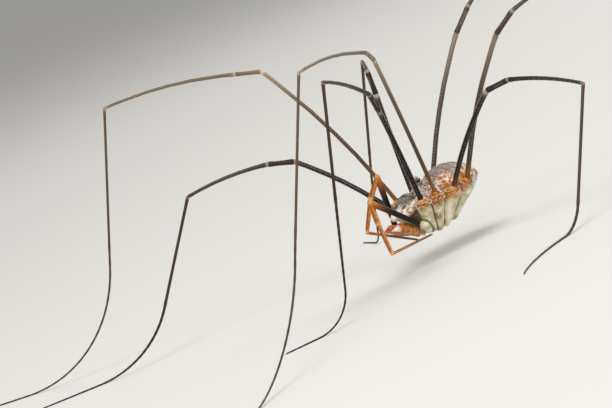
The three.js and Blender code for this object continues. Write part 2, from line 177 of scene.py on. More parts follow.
class Shader:
    """A material's node tree, with short ways to add the nodes that cuticle needs."""

    def __init__(self, name: str) -> None:
        """Start a material with one Principled shader.

        Args:
            name: the material's name.
        """
        self.material = bpy.data.materials.new(name)
        self.material.use_nodes = True
        self.tree = self.material.node_tree
        self.tree.nodes.clear()
        self.surface = self.tree.nodes.new("ShaderNodeBsdfPrincipled")
        output = self.tree.nodes.new("ShaderNodeOutputMaterial")
        self.join(self.surface.outputs["BSDF"], output.inputs["Surface"])
        coordinates = self.tree.nodes.new("ShaderNodeTexCoord")
        scaled = self.tree.nodes.new("ShaderNodeMapping")
        scaled.inputs["Scale"].default_value = (1.0 / MM,) * 3
        self.join(coordinates.outputs["Object"], scaled.inputs["Vector"])
        self.millimetres = scaled.outputs["Vector"]

    def join(self, source: Socket, target: Socket) -> None:
        """Link one socket to another."""
        self.tree.links.new(source, target)

    def set(self, **values: object) -> None:
        """Set the surface's own sockets, with underscores for spaces."""
        for key, value in values.items():
            self.surface.inputs[key.replace("_", " ")].default_value = value

    def speckle(self, scale: float, detail: float = 3.0, rough: float = 0.6) -> Socket:
        """Add soft noise.

        Args:
            scale: cells to the millimetre.
            detail: octaves of finer noise.
            rough: how strong the finer noise is.

        Returns:
            The noise's factor.
        """
        node = self.tree.nodes.new("ShaderNodeTexNoise")
        node.inputs["Scale"].default_value = scale
        node.inputs["Detail"].default_value = detail
        node.inputs["Roughness"].default_value = rough
        self.join(self.millimetres, node.inputs["Vector"])
        return node.outputs["Fac"]

    def cells(self, scale: float) -> Socket:
        """Add round cells.

        Args:
            scale: cells to the millimetre.

        Returns:
            The distance to the nearest cell's centre.
        """
        node = self.tree.nodes.new("ShaderNodeTexVoronoi")
        node.inputs["Scale"].default_value = scale
        self.join(self.millimetres, node.inputs["Vector"])
        return node.outputs["Distance"]

    def painted(self, name: str) -> Socket:
        """Read a number stored on the mesh.

        Args:
            name: the number's name.

        Returns:
            The number.
        """
        node = self.tree.nodes.new("ShaderNodeAttribute")
        node.attribute_name = name
        return node.outputs["Fac"]

    def ramp(self, factor: Socket, stops: Ramp) -> Socket:
        """Turn a factor into colours.

        Args:
            factor: the socket that drives the ramp.
            stops: places from 0 to 1, each with its colour code.

        Returns:
            The colour.
        """
        node = self.tree.nodes.new("ShaderNodeValToRGB")
        elements = node.color_ramp.elements
        while len(elements) < len(stops):
            elements.new(0.5)
        for element, (place, code) in zip(elements, stops):
            element.position = place
            element.color = linear(code)
        self.join(factor, node.inputs["Fac"])
        return node.outputs["Color"]

    def step(self, factor: Socket, low: float, high: float) -> Socket:
        """Map a factor smoothly.

        Args:
            factor: the socket to map.
            low: the factor that gives 0.
            high: the factor that gives 1.

        Returns:
            The mapped factor.
        """
        node = self.tree.nodes.new("ShaderNodeMapRange")
        node.interpolation_type = "SMOOTHSTEP"
        node.inputs["From Min"].default_value = low
        node.inputs["From Max"].default_value = high
        self.join(factor, node.inputs["Value"])
        return node.outputs["Result"]

    def mix(self, share: Socket, first: Socket, second: Socket, way: str = "MIX") -> Socket:
        """Mix two colours.

        Args:
            share: how much of the second colour shows.
            first: the colour beneath.
            second: the colour on top.
            way: the kind of mix.

        Returns:
            The mixed colour.
        """
        node = self.tree.nodes.new("ShaderNodeMix")
        node.data_type = "RGBA"
        node.blend_type = way
        self.join(share, node.inputs["Factor"])
        self.join(first, node.inputs["A"])
        self.join(second, node.inputs["B"])
        return node.outputs["Result"]

    def bump(self, height: Socket, depth: float) -> None:
        """Raise the surface's normals.

        Args:
            height: the factor that stands for height.
            depth: the height of a full step, in millimetres.
        """
        node = self.tree.nodes.new("ShaderNodeBump")
        node.inputs["Distance"].default_value = depth * MM
        self.join(height, node.inputs["Height"])
        self.join(node.outputs["Normal"], self.surface.inputs["Normal"])


@dataclass(frozen=True)
class LimbCuticle:
    """The thin cuticle of a leg or palp, coloured along its articles, with a pale painted highlight where
    a number on the mesh paints it.
    """

    name: str
    stops: Ramp
    roughness: float = 0.42
    speck: str = "6b5d4c"
    painted_highlight: str = "8a7460"

    def build(self) -> bpy.types.Material:
        """Make the material and return it."""
        shader = Shader(self.name)
        base = shader.ramp(shader.painted("along"), self.stops)
        fine = shader.speckle(9.0, 4.0, 0.7)
        specks = shader.ramp(shader.step(fine, 0.56, 0.72), ((0.0, "000000"), (1.0, self.speck)))
        # A pale streak of painted highlight, added where the mesh's painted number calls for it; only the
        # palps paint it
        painted_highlight = shader.ramp(fine, ((0.3, "000000"), (0.6, self.painted_highlight)))
        colour = shader.mix(shader.step(fine, 0.45, 0.75), base, specks, "ADD")
        colour = shader.mix(shader.painted("shade"), colour, painted_highlight, "ADD")
        shader.join(colour, shader.surface.inputs["Base Color"])
        shader.set(Roughness=self.roughness, Specular_IOR_Level=0.25, Coat_Weight=0.04, Coat_Roughness=0.3)
        shader.bump(fine, GRAIN_DEPTH)
        return shader.material


@dataclass(frozen=True)
class PlainCuticle:
    """A small hard part of one colour, with a mottle and a gloss."""

    name: str
    stops: Ramp
    roughness: float = 0.3
    coat: float = 0.3
    glow: float = 0.0

    def build(self) -> bpy.types.Material:
        """Make the material and return it."""
        shader = Shader(self.name)
        mottle = shader.speckle(3.5, 3.0, 0.55)
        shader.join(shader.ramp(mottle, self.stops), shader.surface.inputs["Base Color"])
        shader.set(Roughness=self.roughness, Coat_Weight=self.coat, Coat_Roughness=0.15)
        if self.glow:
            shader.set(Subsurface_Weight=self.glow, Subsurface_Scale=GLOW_REACH * MM)
        shader.bump(mottle, GRAIN_DEPTH)
        return shader.material


@dataclass(frozen=True)
class JawCuticle:
    """The shiny jaws: two colours parted by a number painted on the mesh."""

    name: str
    top: Ramp
    side: Ramp

    def build(self) -> bpy.types.Material:
        """Make the material and return it."""
        shader = Shader(self.name)
        mottle = shader.speckle(4.0, 3.0, 0.6)
        shade = shader.painted("shade")
        side, top = shader.ramp(mottle, self.side), shader.ramp(mottle, self.top)
        colour = shader.mix(shader.step(shade, 0.3, 0.7), side, top)
        shader.join(colour, shader.surface.inputs["Base Color"])
        shader.set(Roughness=0.24, Coat_Weight=0.5, Coat_Roughness=0.12, Subsurface_Weight=0.15)
        shader.set(Subsurface_Scale=GLOW_REACH * MM)
        shader.bump(mottle, GRAIN_DEPTH)
        return shader.material


@dataclass(frozen=True)
class TrunkCuticle:
    """The mottled back, orange and white flanks, cream coxae with painted green light, and painted shade
    in creases and gaps, parted by numbers painted on the mesh.
    """

    name: str = "trunk_cuticle"

    def build(self) -> bpy.types.Material:
        """Make the material and return it."""
        shader = Shader(self.name)
        coarse = shader.speckle(1.5, 4.0, 0.65)
        fine = shader.speckle(5.5, 4.0, 0.7)
        other = shader.speckle(3.1, 5.0, 0.75)
        grains = shader.cells(8.0)
        skin = shader.ramp(fine, SHIELD)
        skin = shader.mix(shader.step(other, 0.56, 0.62), skin, shader.ramp(fine, RUST))
        saddle = shader.ramp(coarse, SADDLE)
        saddle = shader.mix(shader.step(fine, 0.5, 0.66), saddle, shader.ramp(other, SHIELD))
        skin = shader.mix(shader.painted("saddle"), skin, saddle)
        skin = shader.mix(shader.painted("flank"), skin, shader.ramp(fine, FLANK))
        pits = shader.ramp(shader.step(grains, 0.04, 0.22), ((0.0, "3a241a"), (1.0, "ffffff")))
        skin = shader.mix(shader.step(coarse, 0.42, 0.6), skin, pits, "MULTIPLY")
        # Painted shade: dark brown in the grooves between the back's plates
        skin = shader.mix(shader.step(shader.painted("seam"), 0.1, 1.4), skin, shader.ramp(other, MEMBRANE_AND_SHADE))
        regions = (
            ("tip", fine, TIP),
            ("belly", coarse, BELLY),
            ("coxa", coarse, COXA),
            ("amber", other, AMBER),
            # Painted shade between the coxae, where their brown membrane also shows, and under the
            # carapace front
            ("groove", other, MEMBRANE_AND_SHADE),
        )
        for region, grain, stops in regions:
            skin = shader.mix(shader.painted(region), skin, shader.ramp(grain, stops))
        shader.join(skin, shader.surface.inputs["Base Color"])
        shader.set(Roughness=0.42, Coat_Weight=0.2, Coat_Roughness=0.3, Subsurface_Weight=0.06)
        shader.set(Subsurface_Scale=GLOW_REACH * MM)
        shader.bump(fine, 0.07)
        return shader.material


@dataclass(frozen=True)
class FloorPaper:
    """The pale, matt studio floor."""

    name: str = "studio_floor"

    def build(self) -> bpy.types.Material:
        """Make the material and return it."""
        shader = Shader(self.name)
        shader.set(Base_Color=linear("dedbd5"), Roughness=0.85)
        return shader.material


class Finishes:
    """Every material of the model, made once."""

    def __init__(self) -> None:
        """Build the materials."""
        self.trunk = TrunkCuticle().build()
        self.spine = PlainCuticle("pale_spines", ((0.3, "d9c7a4"), (0.7, "fbf4e4")), 0.35).build()
        self.amber = PlainCuticle("amber_trochanter", AMBER, 0.28, 0.4, 0.1).build()
        self.eye = PlainCuticle("eye_gloss", ((0.3, "050404"), (0.7, "0d0b0a")), 0.06, 1.0).build()
        self.legs = {
            1: LimbCuticle("dark_leg", DARK_LEG, speck="2e2822").build(),
            2: LimbCuticle("slim_leg", SLIM_LEG).build(),
            3: LimbCuticle("shadow_leg", SHADOW_LEG, speck="3a322a").build(),
            4: LimbCuticle("hind_leg", HIND_LEG).build(),
        }
        # The palp's last colour is its pale painted highlight
        self.palp = LimbCuticle("palp_cuticle", PALP, 0.3, "3d2810", "c9a468").build()
        self.jaw_base = JawCuticle("jaw_root", JAW_TOP, JAW_SIDE).build()
        self.jaw_hands = {
            Side.LEFT: JawCuticle("jaw_hand_left", PALE_HORN, HAND).build(),
            Side.RIGHT: JawCuticle("jaw_hand_right", RED_HORN, HAND).build(),
        }


# Colours along a leg: the femur takes the first fifth, then patella, tibia, metatarsus and tarsus
DARK_LEG: Ramp = (
    (0.0, "0c0908"), (0.12, "0e0a08"), (0.19, "2a201a"), (0.198, "a38f76"), (0.203, "2a1d15"),
    (0.39, "33241a"), (0.399, "a38f76"), (0.404, "3d3027"), (0.5, "4d4036"), (0.597, "463729"),
    (0.6, "93806a"), (0.604, "43301f"), (0.8, "382616"), (0.9, "2d1f13"), (1.0, "1d140d"),
)
SLIM_LEG: Ramp = (
    (0.0, "9a6018"), (0.02, "6d4a22"), (0.06, "4a3622"), (0.14, "65523d"), (0.195, "978670"),
    (0.2, "d8cbb2"), (0.206, "85715a"), (0.39, "6f5b45"), (0.399, "c3b295"), (0.404, "70604c"),
    (0.59, "7a6750"), (0.6, "b09c80"), (0.606, "5f4a34"), (0.8, "523d28"), (1.0, "3a2a1b"),
)
SHADOW_LEG: Ramp = (
    (0.0, "6d4214"), (0.03, "1d1611"), (0.15, "171210"), (0.19, "2e241d"), (0.198, "b3a48e"),
    (0.205, "2b2019"), (0.39, "30251d"), (0.399, "a3937c"), (0.404, "2f251e"), (0.59, "3a2e24"),
    (0.6, "8c7a66"), (0.606, "4a3626"), (0.8, "463322"), (1.0, "2d2016"),
)
HIND_LEG: Ramp = (
    (0.0, "8a5518"), (0.03, "473a30"), (0.12, "4d4138"), (0.198, "8a7966"), (0.205, "453629"),
    (0.39, "4d3f32"), (0.399, "a3917b"), (0.405, "54463a"), (0.6, "57483b"), (0.8, "4a3a2d"),
    (1.0, "352719"),
)
PALP: Ramp = (
    (0.0, "070504"), (0.14, "0c0705"), (0.18, "4a2206"), (0.22, "9a5208"), (0.248, "a8600f"),
    (0.252, "e0b070"), (0.262, "a85c10"), (0.45, "a05408"), (0.49, "e3b87c"), (0.51, "a05408"),
    (0.72, "94490a"), (0.748, "dba468"), (0.757, "98500c"), (0.86, "74400f"), (0.95, "2e1a0a"),
    (1.0, "120a05"),
)

# Colours by grain, from the darkest to the palest
SHIELD: Ramp = ((0.36, "241a16"), (0.43, "6d564c"), (0.5, "a58a7d"), (0.57, "c9b0a2"), (0.66, "f2e6d8"))
RUST: Ramp = ((0.4, "5f2409"), (0.5, "a8551c"), (0.6, "e0b48a"))
SADDLE: Ramp = ((0.35, "665856"), (0.5, "8f7b76"), (0.65, "b09a90"))
FLANK: Ramp = ((0.36, "4a1f08"), (0.43, "a3560f"), (0.5, "d3914a"), (0.56, "f2e0c4"), (0.66, "fffaf0"))
TIP: Ramp = ((0.35, "2b1406"), (0.5, "6d3a12"), (0.65, "a8712e"))
BELLY: Ramp = ((0.35, "6f8a88"), (0.5, "a9bdb8"), (0.65, "dfe8e2"))
# Cream coxae; the olive-green of the darker tones is painted green reflected light
COXA: Ramp = ((0.35, "9a8f66"), (0.46, "cdc498"), (0.56, "e8e1c2"), (0.66, "faf5e4"))
AMBER: Ramp = ((0.35, "6d3204"), (0.48, "a8600c"), (0.58, "c98424"), (0.75, "e3b468"))
# Dark brown for painted shade in creases and gaps, and for the brown membrane between the coxae
MEMBRANE_AND_SHADE: Ramp = ((0.35, "2e1808"), (0.55, "6b4419"), (0.7, "8f7038"))
JAW_TOP: Ramp = ((0.35, "3a3026"), (0.5, "665a4a"), (0.65, "938573"))
JAW_SIDE: Ramp = ((0.36, "a8560f"), (0.43, "dcae78"), (0.5, "f2e8da"), (0.65, "ffffff"))
PALE_HORN: Ramp = ((0.35, "d98a6a"), (0.5, "f5d3c2"), (0.65, "fff4ee"))
RED_HORN: Ramp = ((0.35, "8a2405"), (0.5, "c8501c"), (0.65, "e88a50"))
HAND: Ramp = ((0.35, "8f4806"), (0.5, "bd7013"), (0.65, "d9973c"))


class Sweep:
    """Closed rods in one bmesh, each grown ring by ring along a route."""

    def __init__(self) -> None:
        """Start an empty mesh with the number that colours it along its length."""
        self.mesh = bmesh.new()
        self.along = self.mesh.verts.layers.float.new("along")
        self.shade = self.mesh.verts.layers.float.new("shade")

    @staticmethod
    def station(place: Vector, aim: Vector, radius: float) -> Matrix:
        """Work out the transform that carries a unit circle to a place on the route.

        Args:
            place: the ring's centre.
            aim: the route's direction there.
            radius: the ring's radius.

        Returns:
            The ring's transform.
        """
        across, above = sideways(aim)
        turn = Matrix((across, above, aim)).transposed().to_4x4()
        return Matrix.Translation(place) @ turn @ Matrix.Scale(radius, 4)

    def rod(
        self, places: Sequence[Vector], radii: Sequence[float], shares: Sequence[float], sides: int = 14
    ) -> None:
        """Grow one closed rod.

        Args:
            places: ring centres from root to tip.
            radii: the rings' radii.
            shares: the number painted on each ring.
            sides: points round a ring.
        """
        aims = [(after - before).normalized() for before, after in zip(places, places[1:])]
        turns = [aims[0]] + [(a + b).normalized() for a, b in zip(aims, aims[1:])] + [aims[-1]]
        stations = [self.station(p, t, r) for p, t, r in zip(places, turns, radii)]
        ring = bmesh.ops.create_circle(
            self.mesh, cap_ends=False, segments=sides, radius=1.0, matrix=stations[0]
        )["verts"]
        edges = list({edge for vert in ring for edge in vert.link_edges})
        first_edges = edges
        faces: list[bmesh.types.BMFace] = []
        self._paint(ring, shares[0])
        for before, after, share in zip(stations, stations[1:], shares[1:]):
            grown = bmesh.ops.extrude_edge_only(self.mesh, edges=edges)["geom"]
            ring = [item for item in grown if isinstance(item, bmesh.types.BMVert)]
            edges = [item for item in grown if isinstance(item, bmesh.types.BMEdge)]
            faces += [item for item in grown if isinstance(item, bmesh.types.BMFace)]
            bmesh.ops.transform(self.mesh, matrix=after @ before.inverted(), verts=ring)
            self._paint(ring, share)
        for rim in (first_edges, edges):
            faces += bmesh.ops.holes_fill(self.mesh, edges=rim, sides=sides)["faces"]
        bmesh.ops.recalc_face_normals(self.mesh, faces=faces)
        for face in faces:
            face.smooth = True

    def _paint(self, ring: Sequence[bmesh.types.BMVert], share: float) -> None:
        """Store the ring's share along its limb."""
        for vert in ring:
            vert[self.along] = share

    @staticmethod
    def _coat(verts: Sequence[bmesh.types.BMVert], material: int) -> None:
        """Give the faces round some points their material slot and smooth shading."""
        for face in {face for vert in verts for face in vert.link_faces}:
            face.material_index = material
            face.smooth = True

    def taper(self, near: Vector, far: Vector, shape: Profile) -> None:
        """Grow a round body.

        Args:
            near: where its root lies.
            far: where its tip lies.
            shape: shares of the way from root to tip, each with its radius.
        """
        shares = [share for share, _ in shape]
        places = [near.lerp(far, share) for share in shares]
        self.rod(places, [radius for _, radius in shape], shares, 20)

    def bead(
        self, centre: Vector, radius: float, share: float = 0.0, material: int = 0, fine: int = 3
    ) -> None:
        """Add a round bead.

        Args:
            centre: its middle.
            radius: its radius.
            share: the number painted on it.
            material: its material slot.
            fine: how often its faces are split.
        """
        made = bmesh.ops.create_icosphere(
            self.mesh, subdivisions=fine, radius=radius, matrix=Matrix.Translation(centre)
        )["verts"]
        self._paint(made, share)
        self._coat(made, material)

    def spine(self, root: Vector, aim: Vector, height: float, base: float, material: int = 1) -> None:
        """Stand a pointed spine on the surface.

        Args:
            root: the point on the surface.
            aim: the way that the spine points.
            height: how far it stands out.
            base: its radius at the root.
            material: its material slot.
        """
        turn = aim.to_track_quat("Z", "Y").to_matrix().to_4x4()
        middle = root + aim.normalized() * (height * 0.5 - base * 0.5)
        made = bmesh.ops.create_cone(
            self.mesh,
            cap_ends=True,
            segments=5,
            radius1=base,
            radius2=base * 0.12,
            depth=height + base,
            matrix=Matrix.Translation(middle) @ turn,
        )["verts"]
        self._coat(made, material)


class Workshop:
    """Turns drawn shapes into pieces of the model."""

    def __init__(self) -> None:
        """Find the trunk's axes in the frame, and make the finishes."""
        corners = [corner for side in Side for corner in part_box("eye_" + side.label)]
        eyes = sum(corners, Vector()) / len(corners) / MM
        self.shift = eyes - EYES_AT
        self.to_frame = Matrix.Scale(MM, 4) @ Matrix.Translation(self.shift)
        self.finishes = Finishes()

    def piece(
        self,
        name: str,
        mesh: bmesh.types.BMesh,
        materials: Sequence[bpy.types.Material],
        nodes: Sequence[str],
    ) -> None:
        """Finish a drawn shape as a piece that rides on the frame.

        Args:
            name: the piece's name.
            mesh: the shape, in millimetres in the trunk's axes, which is freed.
            materials: its material slots.
            nodes: the nodes that it stands for.
        """
        data = bpy.data.meshes.new(name)
        mesh.to_mesh(data)
        mesh.free()
        data.transform(self.to_frame)
        for material in materials:
            data.materials.append(material)
        made = bpy.data.objects.new(name, data)
        bpy.context.scene.collection.objects.link(made)
        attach(made, BODY)
        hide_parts(*nodes)
        LOG.info("%s: %d faces", name, len(data.polygons))


@dataclass(frozen=True)
class Line:
    """The middle line of one article: straight, or bowed a little upwards."""

    start: Vector
    aim: Vector
    length: float
    bow: float = 0.0

    @property
    def end(self) -> Vector:
        """The place where the next article begins."""
        return self.start + self.aim * self.length

    def at(self, along: float) -> Vector:
        """Find a point of the line.

        Args:
            along: its distance from the start.

        Returns:
            The point.
        """
        share = min(max(along / self.length, 0.0), 1.0)
        lift = 4.0 * self.bow * self.length * share * (1.0 - share)
        return self.start + self.aim * along + sideways(self.aim)[1] * lift


@dataclass(frozen=True)
class LegPose:
    """How one leg stands: a heading and a pitch for each article, and how its tarsus meets the floor."""

    femur: tuple[float, float]
    patella: tuple[float, float]
    tibia: tuple[float, float]
    metatarsus: tuple[float, float]
    toe: float
    flat: float

    def aims(self) -> list[Vector]:
        """The directions of the four straight articles."""
        return [heading(*pair) for pair in (self.femur, self.patella, self.tibia, self.metatarsus)]


@dataclass(frozen=True)
class LegBuild:
    """Sizes of one pair of legs in millimetres, and the rows and steps of its femora's denticles."""

    root: Point
    lengths: tuple[float, float, float, float, float]
    femur_radius: float
    tibia_radius: float
    foot_radius: float
    rows: int
    steps: int


LEG_BUILDS = {
    1: LegBuild((1.55, -2.6, 3.7), (7.0, 1.65, 5.3, 6.8, 10.5), 0.168, 0.14, 0.095, 6, 40),
    2: LegBuild((1.9, -1.7, 3.8), (11.5, 1.75, 8.7, 9.0, 19.0), 0.135, 0.12, 0.08, 4, 48),
    3: LegBuild((1.95, -0.4, 3.62), (6.8, 1.5, 5.0, 7.4, 10.5), 0.17, 0.145, 0.095, 6, 38),
    4: LegBuild((1.75, 0.95, 3.65), (9.8, 1.85, 6.6, 9.6, 13.5), 0.165, 0.13, 0.085, 4, 42),
}
# Headings and pitches, the heading of the toe, and how many millimetres of the tarsus lie flat
LEG_POSES = {
    (Side.LEFT, 1): LegPose((46, 64), (46, 45), (27, 22), (-14, -73), -12, 2.2),
    (Side.LEFT, 2): LegPose((49, 54), (45, 21), (27, 6), (5, -60), 52, 6),
    (Side.LEFT, 3): LegPose((111, 47), (119, 7), (107, -18), (10, -54), 42, 7),
    (Side.LEFT, 4): LegPose((106, 53), (109, 32), (135, 10), (130, -55), 128, 4),
    (Side.RIGHT, 1): LegPose((-70, 41), (-36, 16), (-43, -1), (-30, -56), -35, 4),
    (Side.RIGHT, 2): LegPose((-57, 64), (-60, 13), (-53, 6), (-58, -68), -62, 6.5),
    (Side.RIGHT, 3): LegPose((-132, 74), (-131, 80), (-126, 4), (-103, -54), -110, 2.5),
    (Side.RIGHT, 4): LegPose((173, 55), (160, 43), (166, 25), (172, -58), 178, 2.5),
}


@dataclass
class Leg:
    """One leg from its trochanter to its claw."""

    side: Side
    number: int
    articles: int = 5
    trochanter: float = 0.33
    sole_height: float = 0.05
    tip_radius: float = 0.04
    ring_waist: float = 0.86
    foot_steps: int = 48
    long_article: float = 3.0
    claw: tuple[float, float] = (0.14, 0.03)
    denticle: tuple[float, float] = (0.06, 0.02)
    bare_ends: tuple[float, float] = (0.6, 0.3)
    crown_spines: int = 14
    crown_turn: float = 100.0
    crown_base: float = 0.045
    bows: tuple[float, float, float, float] = (0.035, 0.0, 0.04, 0.0)
    waist: Profile = ((0.0, 0.72), (0.05, 1.0), (0.16, 1.08), (0.45, 0.97), (0.9, 0.94))

    def foot_route(self, start: Vector, pose: LegPose, length: float) -> list[Vector]:
        """Let the tarsus down to the floor: straight, then bending level, then lying flat.

        Args:
            start: where the tarsus begins.
            pose: the leg's pose.
            length: the tarsus's length.

        Returns:
            Points along the tarsus.
        """
        turn, pitch = pose.metatarsus
        fall = math.radians(-pitch)
        drop = start.z - self.sole_height
        curved = (1.0 - math.cos(fall)) / fall
        bend = ((length - pose.flat) * math.sin(fall) - drop) / (math.sin(fall) - curved)
        straight = length - pose.flat - bend
        if straight < 0.0:
            straight, bend = 0.0, drop / curved
        steps = self.foot_steps
        places = [start.copy()]
        for step in range(steps):
            reached = (step + 0.5) / steps * length
            raised = pitch * (1.0 - min(max((reached - straight) / bend, 0.0), 1.0))
            toe = blend(turn, pose.toe, reached / length)
            places.append(places[-1] + heading(toe, raised) * (length / steps))
        lift = self.sole_height - places[-1].z
        return [place + Vector((0.0, 0.0, lift * index / steps)) for index, place in enumerate(places)]

    def article(self, sweep: Sweep, index: int, line: Line, radii: tuple[float, float]) -> None:
        """Add one article with a waist behind each knuckle, bowed as its line is.

        Args:
            sweep: the leg's mesh.
            index: the article's place in the leg, from 0.
            line: its middle line.
            radii: its radii at its root and its tip.
        """
        length = line.length
        near = [(place, size) for place, size in self.waist if place < length * 0.4]
        middle = [(length * part / 6.0, 0.93) for part in range(2, 5) if length > self.long_article]
        stations = near + middle + [(length - place, size) for place, size in reversed(near)]
        sweep.rod(
            [line.at(place) for place, _ in stations],
            [blend(*radii, place / length) * size for place, size in stations],
            [(index + place / length) / self.articles for place, _ in stations],
        )
        sweep.bead(line.end, radii[1], (index + 0.99) / self.articles, 0, 2)

    def denticles(self, sweep: Sweep, line: Line, radius: float, rows: int, steps: int) -> None:
        """Stand rows of small pale denticles along an article.

        Args:
            sweep: the leg's mesh.
            line: the article's middle line.
            radius: its radius.
            rows: rows round it.
            steps: denticles in a row.
        """
        height, base = self.denticle
        root_end, tip_end = self.bare_ends
        across, above = sideways(line.aim)
        for row in range(rows):
            angle = (row + 0.5) / rows * math.tau
            out = across * math.cos(angle) + above * math.sin(angle)
            for step in range(steps):
                share = (step + 0.5 * (row % 2) + random.uniform(-0.15, 0.15)) / steps
                place = line.at(blend(root_end, line.length - tip_end, share))
                size = random.uniform(0.75, 1.1)
                sweep.spine(place + out * radius * 0.93, out + line.aim * 0.5, height * size, base * size)

    def crown(self, sweep: Sweep, root: Vector, aim: Vector) -> None:
        """Stand longer pale spines round the outer side of the trochanter.

        Args:
            sweep: the leg's mesh.
            root: the trochanter's middle.
            aim: the femur's direction.
        """
        outward = Vector((self.side.value, 0.0, -0.25))
        outward = (outward - aim * outward.dot(aim)).normalized()
        for index in range(self.crown_spines):
            share = index / (self.crown_spines - 1)
            turn = math.radians(blend(-self.crown_turn, self.crown_turn, share))
            out = Matrix.Rotation(turn, 3, aim) @ outward + aim * random.uniform(-0.3, 0.6)
            out.normalize()
            place = root + out * self.trochanter * 0.95
            sweep.spine(place, out, random.uniform(0.1, 0.2), self.crown_base)

    def foot(self, sweep: Sweep, start: Vector, pose: LegPose, shape: LegBuild) -> None:
        """Add the ringed tarsus and its claw.

        Args:
            sweep: the leg's mesh.
            start: where the tarsus begins.
            pose: the leg's pose.
            shape: the leg's sizes.
        """
        route = self.foot_route(start, pose, shape.lengths[4])
        shares = [index / (len(route) - 1) for index in range(len(route))]
        rings = (1.0, self.ring_waist)
        radii = [
            blend(shape.foot_radius, self.tip_radius, share) * rings[index % 2]
            for index, share in enumerate(shares)
        ]
        sweep.rod(route, radii, [(4.0 + share) / self.articles for share in shares], 10)
        aim = (route[-1] - route[-2]).normalized() - Vector((0.0, 0.0, 0.3))
        sweep.spine(route[-1], aim, *self.claw, 0)

    def build(self, shop: Workshop) -> None:
        """Draw the leg and finish it.

        Args:
            shop: the workshop.
        """
        shape, pose = LEG_BUILDS[self.number], LEG_POSES[(self.side, self.number)]
        femur, tibia, foot = shape.femur_radius, shape.tibia_radius, shape.foot_radius
        radii = ((femur, femur * 0.95), (femur, femur * 0.95), (tibia, foot * 1.1), (foot * 1.1, foot))
        sweep = Sweep()
        start = root = self.side.place(shape.root)
        sweep.bead(root, self.trochanter, 0.0, 2)
        for index, aim in enumerate(pose.aims()):
            line = Line(start, aim, shape.lengths[index], self.bows[index])
            self.article(sweep, index, line, radii[index])
            rows, steps = (shape.rows, shape.steps) if index == 0 else (3, shape.steps // 3)
            if index < 3:
                self.denticles(sweep, line, radii[index][0], rows, steps)
            start = line.end
        self.foot(sweep, start, pose, shape)
        for vert in sweep.mesh.verts:
            vert.co.z = max(vert.co.z, 0.0)
        self.crown(sweep, root, pose.aims()[0])
        name = f"leg_{self.number}_{self.side.label}"
        parts = ("femur", "patella", "tibia", "metatarsus", "tarsus")
        finishes = shop.finishes
        coats = (finishes.legs[self.number], finishes.spine, finishes.amber)
        shop.piece(name, sweep.mesh, coats, [f"{name}_{part}" for part in parts])


# The palps' places and sizes, and the heading and pitch of each article
PALP_COXA = ((0.45, -2.0, 1.95), (0.9, -2.6, 2.34))
PALP_ROOT = (1.1, -3.15, 2.68)
PALP_LENGTHS = (3.35, 1.5, 1.9, 3.1)
PALP_RADII = (0.18, 0.16, 0.15, 0.1, 0.05)
PALP_POSES = {
    Side.LEFT: ((-9, 43), (-125, -74), (78, -82), (175, 0)),
    Side.RIGHT: ((64, 81), (-34, -52), (-23, -62), (146, -30)),
}


@dataclass
class Palp:
    """One of the two slender feelers beside the jaws."""

    side: Side
    root_bead: float = 0.18
    knuckle: float = 1.08
    # How strong the pale streak of painted highlight is
    painted_highlight: float = 0.8
    shape: Profile = (
        (0.0, 0.7), (0.05, 1.0), (0.2, 0.9), (0.5, 1.05), (0.85, 1.14), (0.96, 1.1), (1.0, 0.8),
    )

    def build(self, shop: Workshop) -> None:
        """Draw the palp and finish it.

        Args:
            shop: the workshop.
        """
        sweep = Sweep()
        start = self.side.place(PALP_ROOT)
        sweep.bead(start, self.root_bead)
        aims = [heading(*pair) for pair in PALP_POSES[self.side]]
        for index, aim in enumerate(aims):
            length = PALP_LENGTHS[index]
            near, far = PALP_RADII[index], PALP_RADII[index + 1]
            sweep.rod(
                [start + aim * length * place for place, _ in self.shape],
                [blend(near, far, place) * size for place, size in self.shape],
                [(index + place) / len(aims) for place, _ in self.shape],
            )
            start = start + aim * length
            if index < len(aims) - 1:
                sweep.bead(start, far * self.knuckle, (index + 0.999) / len(aims), 0, 2)
        self._paint_highlight(sweep)
        name = "palp_" + self.side.label
        nodes = [f"{name}_{part}" for part in ("femur", "patella", "tibia", "tarsus")]
        coats = (shop.finishes.palp, shop.finishes.spine)
        shop.piece(name, sweep.mesh, coats, nodes)

    def _paint_highlight(self, sweep: Sweep) -> None:
        """Paint pale streaks of painted highlight on both sides of the outer articles.

        Args:
            sweep: the palp's mesh.
        """
        sweep.mesh.normal_update()
        for vert in sweep.mesh.verts:
            outer = ease(0.2, 0.28, vert[sweep.along])
            vert[sweep.shade] = self.painted_highlight * outer * ease(0.7, 1.0, abs(vert.normal.x))


